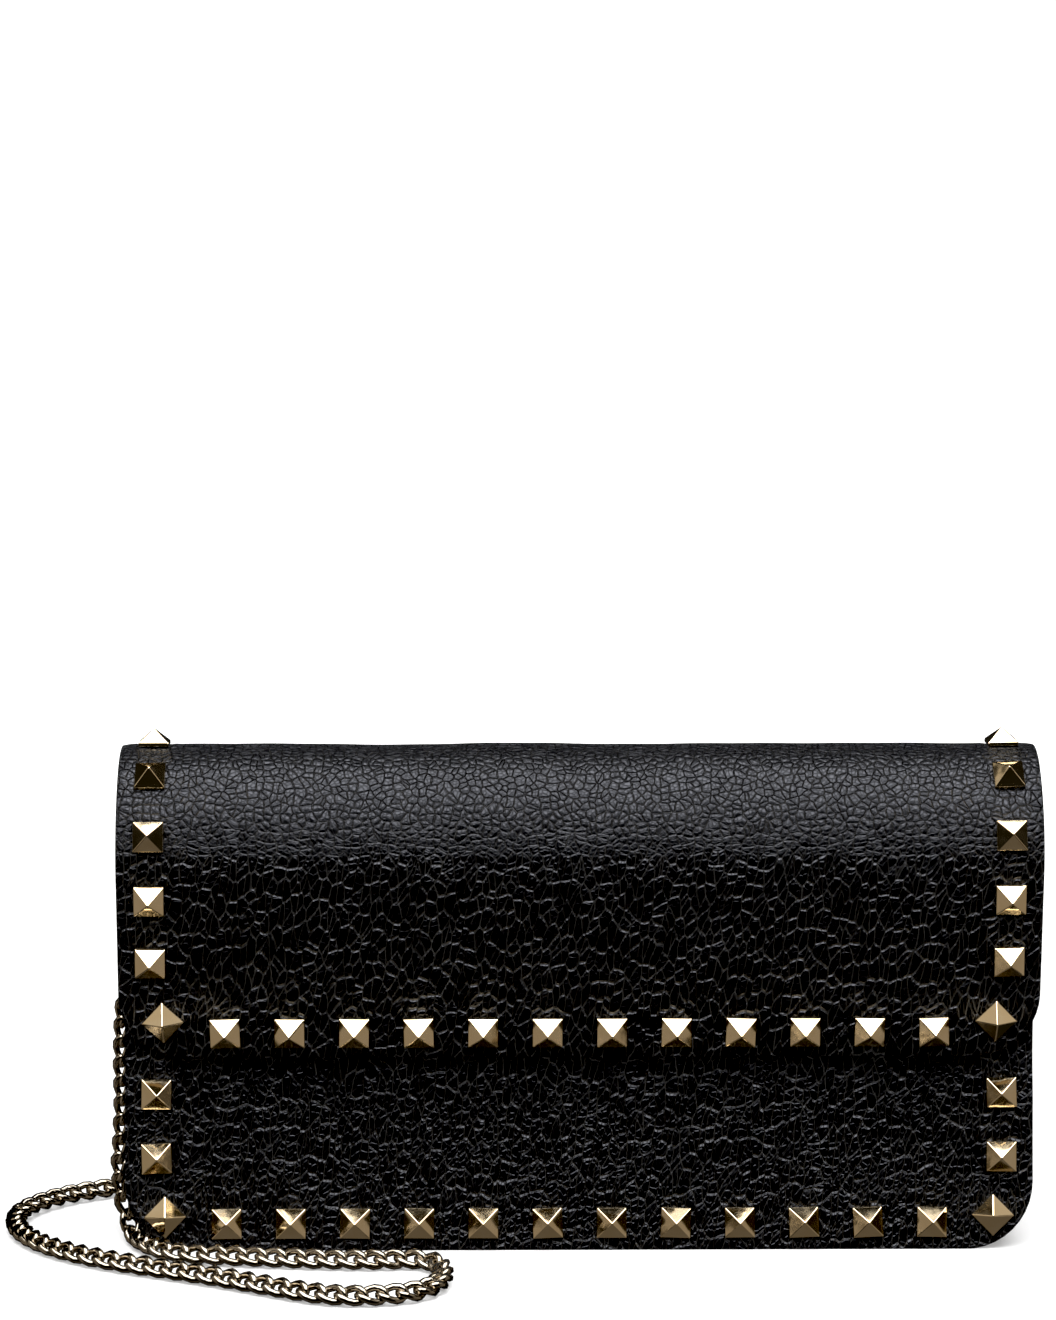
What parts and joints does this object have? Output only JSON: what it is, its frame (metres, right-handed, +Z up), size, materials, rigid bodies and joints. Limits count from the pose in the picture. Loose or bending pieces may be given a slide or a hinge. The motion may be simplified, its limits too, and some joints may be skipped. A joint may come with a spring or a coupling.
{
  "type": "chain wallet",
  "caption": "Slim rectangular wallet with a wrap-over stud-edged flap, magnetic snap, card slots, zipped coin pocket and a detachable metal chain strap.",
  "frame": {"origin": "middle of the base the wallet stands on, half way through its depth", "axes": "+Z up, -Y the front that the flap closes over, +X to the right of someone facing the front"},
  "size_m": [0.2299, 0.1404, 0.1127],
  "materials": {
    "black_leather": "satin",
    "lining": "matte",
    "zip_tape": "matte",
    "gold_metal": "polished",
    "steel": "satin"
  },
  "bodies": {
    "root": {"back_panel": "black_leather", "back_lining": "lining", "front_panel": "black_leather", "front_lining": "lining", "gusset_left": "black_leather", "gusset_right": "black_leather", "bottom_strip": "black_leather", "card_slot_high": "black_leather", "card_slot_middle": "black_leather", "card_slot_low": "black_leather", "coin_wall_front": "lining", "coin_wall_back": "lining", "zip_tape_front": "zip_tape", "zip_tape_back": "zip_tape", "zip_teeth": "gold_metal", "zip_stops": "gold_metal", "ring_tab_left": "black_leather", "ring_tab_right": "black_leather", "clasp_hook_left": "gold_metal", "clasp_hook_right": "gold_metal", "snap_socket": "gold_metal", "snap_socket_washer": "steel", "front_studs_left": "gold_metal", "front_studs_right": "gold_metal", "front_studs_row": "gold_metal", "front_studs_corner": "gold_metal", "chain_left_run": "gold_metal", "chain_coil": "gold_metal", "chain_right_run": "gold_metal"},
    "flap": {"flap_leather": "black_leather", "flap_lining": "lining", "flap_studs_left": "gold_metal", "flap_studs_right": "gold_metal", "flap_studs_row": "gold_metal", "flap_studs_corner": "gold_metal", "snap_nub": "gold_metal", "snap_nub_washer": "steel"},
    "zip_slider": {"zip_slider": "gold_metal"},
    "zip_pull": {"zip_pull": "gold_metal"},
    "ring_left": {"d_ring_left": "gold_metal"},
    "ring_right": {"d_ring_right": "gold_metal"},
    "gate_left": {"clasp_gate_left": "gold_metal"},
    "gate_right": {"clasp_gate_right": "gold_metal"},
    "eye_left": {"clasp_eye_left": "gold_metal"},
    "eye_right": {"clasp_eye_right": "gold_metal"}
  },
  "joints": [
    {"name": "flap_fold", "type": "hinge", "parent": "root", "child": "flap", "pos_m": [0, 0.01675, 0.09297], "axis": [-1, 0, 0], "range_deg": [0, 170]},
    {"name": "zip_slide", "type": "slide", "parent": "root", "child": "zip_slider", "axis": [1, 0, 0], "range_m": [-0.134, 0]},
    {"name": "zip_pull_swing", "type": "hinge", "parent": "zip_slider", "child": "zip_pull", "pos_m": [0.067, 0.00415, 0.09165], "axis": [0, 1, 0], "range_deg": [0, 150]},
    {"name": "ring_swing_left", "type": "hinge", "parent": "root", "child": "ring_left", "pos_m": [-0.0956, 0.00405, 0.088], "axis": [0, 1, 0], "range_deg": [-5, 5]},
    {"name": "ring_swing_right", "type": "hinge", "parent": "root", "child": "ring_right", "pos_m": [0.0956, 0.00405, 0.088], "axis": [0, 1, 0], "range_deg": [-5, 5]},
    {"name": "clasp_gate_left", "type": "hinge", "parent": "root", "child": "gate_left", "pos_m": [-0.0988, 0.00405, 0.0752], "axis": [0, 1, 0], "range_deg": [0, 35], "stiffness_Nm_per_rad": 0.02},
    {"name": "clasp_gate_right", "type": "hinge", "parent": "root", "child": "gate_right", "pos_m": [0.0988, 0.00405, 0.0752], "axis": [0, -1, 0], "range_deg": [0, 35], "stiffness_Nm_per_rad": 0.02},
    {"name": "clasp_swivel_left", "type": "hinge", "parent": "root", "child": "eye_left", "pos_m": [-0.0956, 0.00405, 0.0695], "axis": [0, 0, 1], "continuous": true},
    {"name": "clasp_swivel_right", "type": "hinge", "parent": "root", "child": "eye_right", "pos_m": [0.0956, 0.00405, 0.0695], "axis": [0, 0, 1], "continuous": true}
  ]
}
